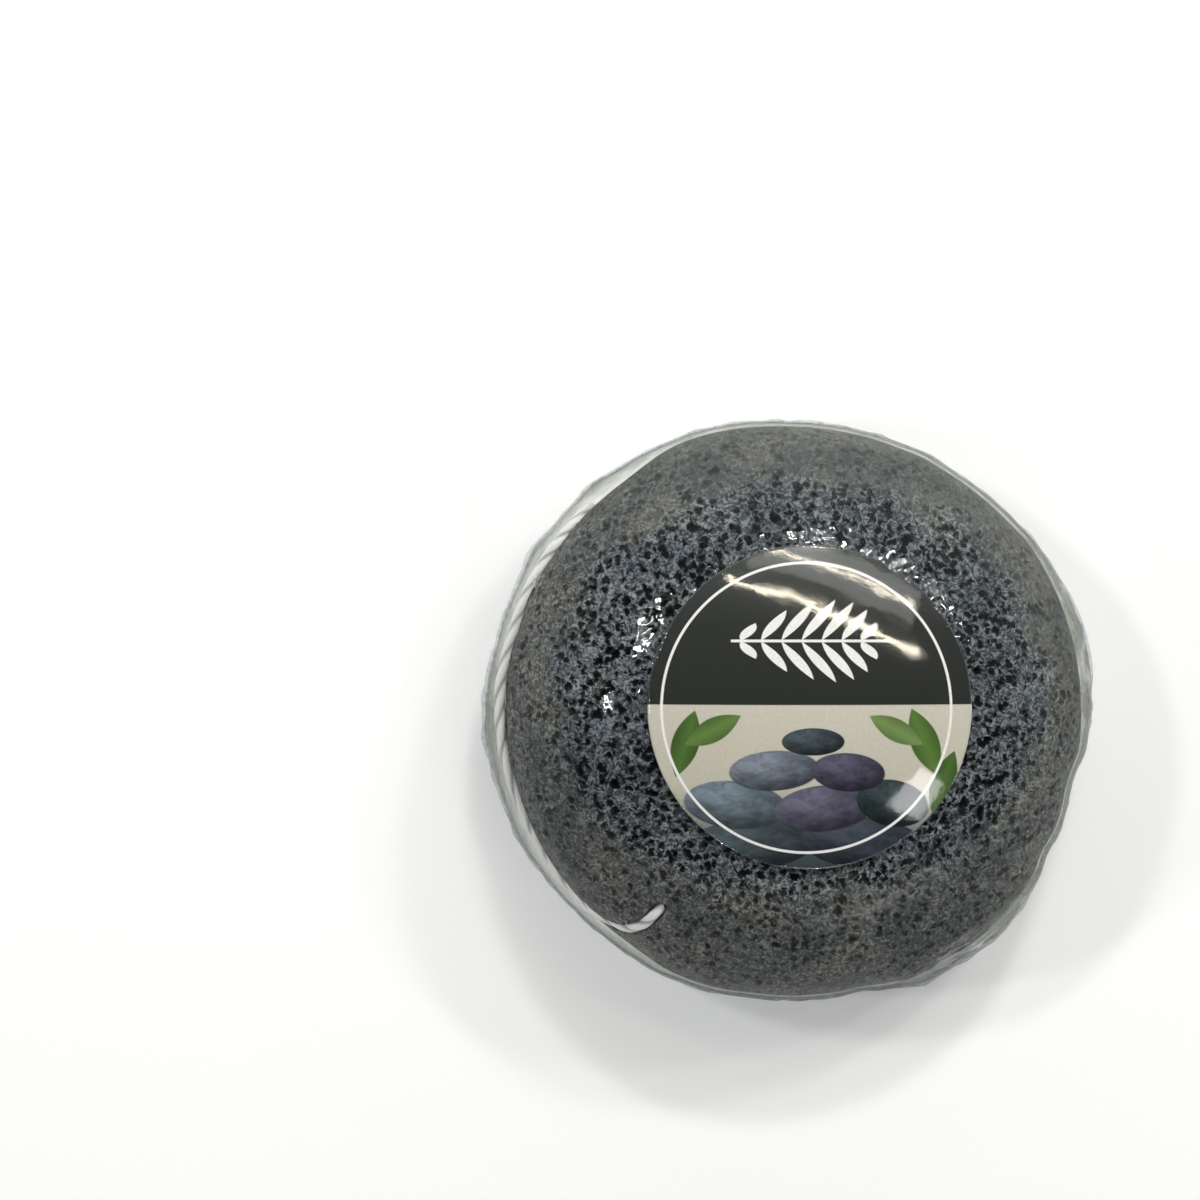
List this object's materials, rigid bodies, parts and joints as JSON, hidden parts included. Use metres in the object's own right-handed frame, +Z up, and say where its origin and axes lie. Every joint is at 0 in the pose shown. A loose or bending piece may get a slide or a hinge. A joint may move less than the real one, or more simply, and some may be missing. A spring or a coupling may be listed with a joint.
{
  "type": "konjac sponge",
  "caption": "Half-ball facial konjac sponge with a cotton hanging string, sealed in clear shrink film with a round sticker on its dome.",
  "frame": {"origin": "middle of the wrap's flat back, on the surface that it rests on", "axes": "+Z up through the dome and out of the sticker, +X towards the side away from the string, +Y towards the top of the sticker"},
  "size_m": [0.081, 0.0774, 0.0405],
  "materials": {
    "charcoal_konjac_fibre": "matte",
    "white_cotton_string": "matte",
    "clear_shrink_film": "gloss",
    "welded_film_seal": "gloss",
    "sticker_adhesive": "satin",
    "printed_sticker_face": "satin",
    "gloss_laminate": "gloss"
  },
  "bodies": {
    "back_wrap": {"back_film_web": "clear_shrink_film", "trim_seal": "welded_film_seal"},
    "sponge": {"sponge_body": "charcoal_konjac_fibre", "hanging_string": "white_cotton_string", "string_knot": "white_cotton_string"},
    "front_wrap": {"front_film_web": "clear_shrink_film", "sticker_adhesive": "sticker_adhesive", "sticker_face": "printed_sticker_face", "sticker_laminate": "gloss_laminate"}
  },
  "joints": [
    {"name": "sponge_lift", "type": "slide", "parent": "back_wrap", "child": "sponge", "axis": [0, 0, 1], "range_m": [0, 0.03]},
    {"name": "front_web_lift", "type": "slide", "parent": "sponge", "child": "front_wrap", "axis": [0, 0, 1], "range_m": [0, 0.06]}
  ]
}
